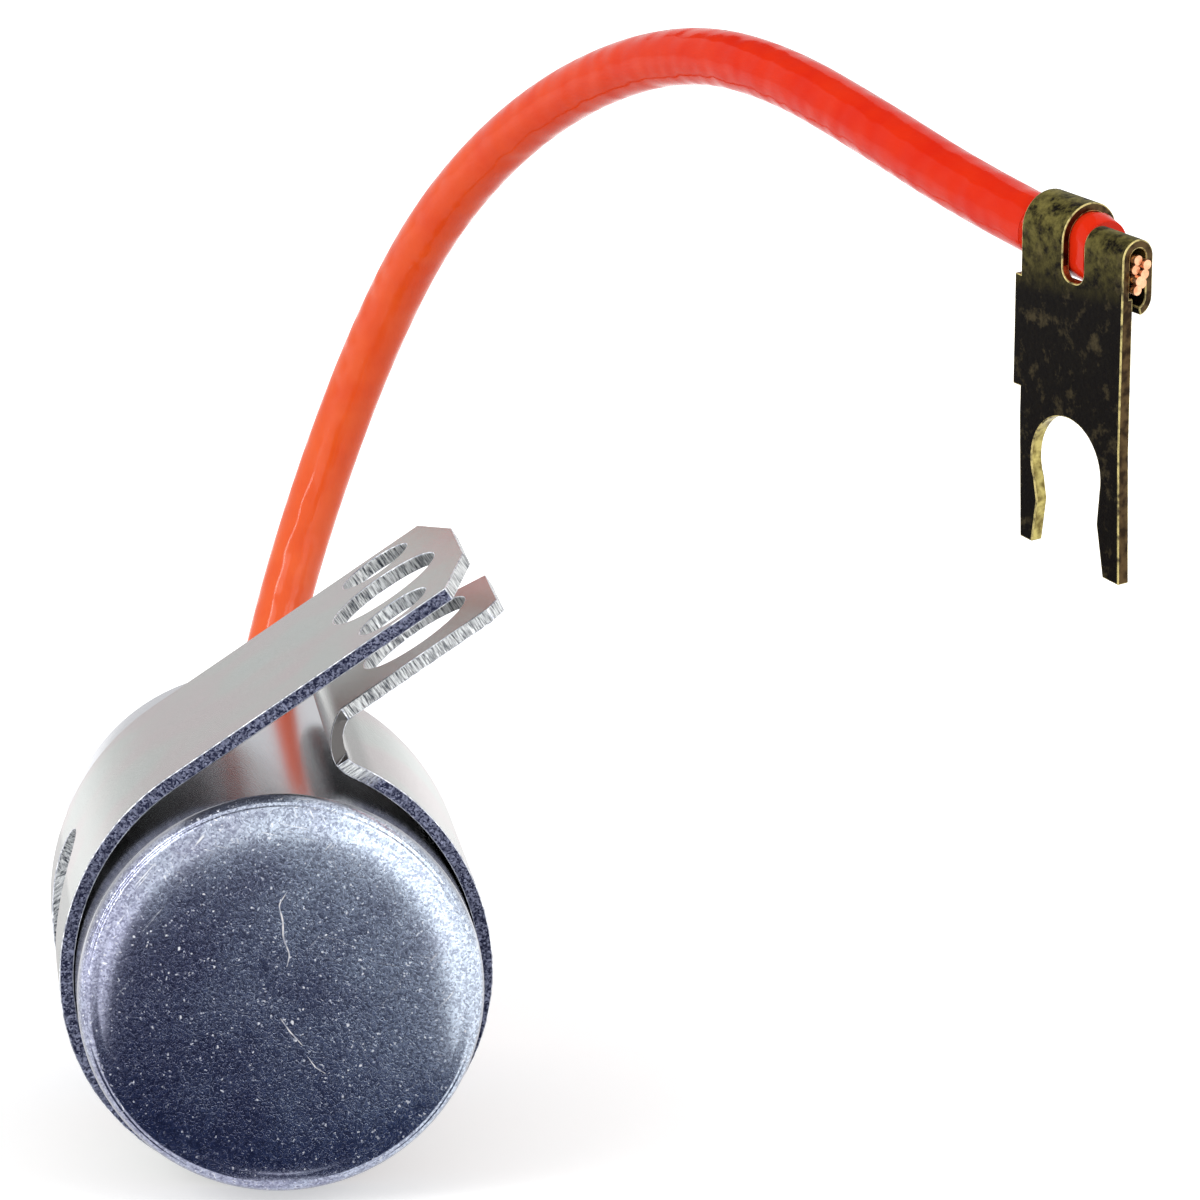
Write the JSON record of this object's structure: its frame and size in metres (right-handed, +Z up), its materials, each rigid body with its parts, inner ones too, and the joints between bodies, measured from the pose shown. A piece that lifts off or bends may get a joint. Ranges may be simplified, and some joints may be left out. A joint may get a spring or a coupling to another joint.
{
  "type": "ignition capacitor",
  "caption": "Ignition condenser: a rolled steel can in a folded clamp strap with screw ears, and an insulated lead ending in a flag fork terminal.",
  "frame": {"origin": "middle of the strap's screw hole, halfway through both ears", "axes": "+Y along the can, from its closed end towards the lead; +Z up; the ears rise towards +X and +Z"},
  "size_m": [0.0472, 0.0572, 0.051],
  "materials": {
    "can_steel": "satin zinc plate, dark blue-grey, finely scratched",
    "strap_steel": "bright zinc plate with faint pink and yellow tints",
    "spring_steel": "plain spring steel",
    "sprayed_metal": "matt sprayed metal",
    "foil_roll": "rolled foil and film",
    "liner_paper": "waxed paper",
    "hard_paper": "brown resin-bonded paper",
    "seal_rubber": "matt black",
    "tinned_plate": "tinned",
    "lead_orange": "bright orange-red gloss",
    "terminal_brass": "darkened brass with bright edges",
    "strand_copper": "bright copper"
  },
  "bodies": {
    "root": {"can_shell": "can_steel", "mounting_strap": "strap_steel", "ground_spring": "spring_steel", "ground_contact": "sprayed_metal", "foil_winding": "foil_roll", "winding_core": "liner_paper", "lead_contact": "sprayed_metal", "insulating_liner": "liner_paper", "lead_plate": "tinned_plate", "solder_joint": "tinned_plate", "lead_tail": "tinned_plate", "insulating_disc": "hard_paper", "rubber_seal": "seal_rubber", "lead_insulation": "lead_orange", "lead_crimped_end": "lead_orange", "fork_terminal": "terminal_brass", "strand_1": "strand_copper", "strand_2": "strand_copper", "strand_3": "strand_copper", "strand_4": "strand_copper", "strand_5": "strand_copper", "strand_6": "strand_copper", "strand_7": "strand_copper"}
  },
  "joints": []
}
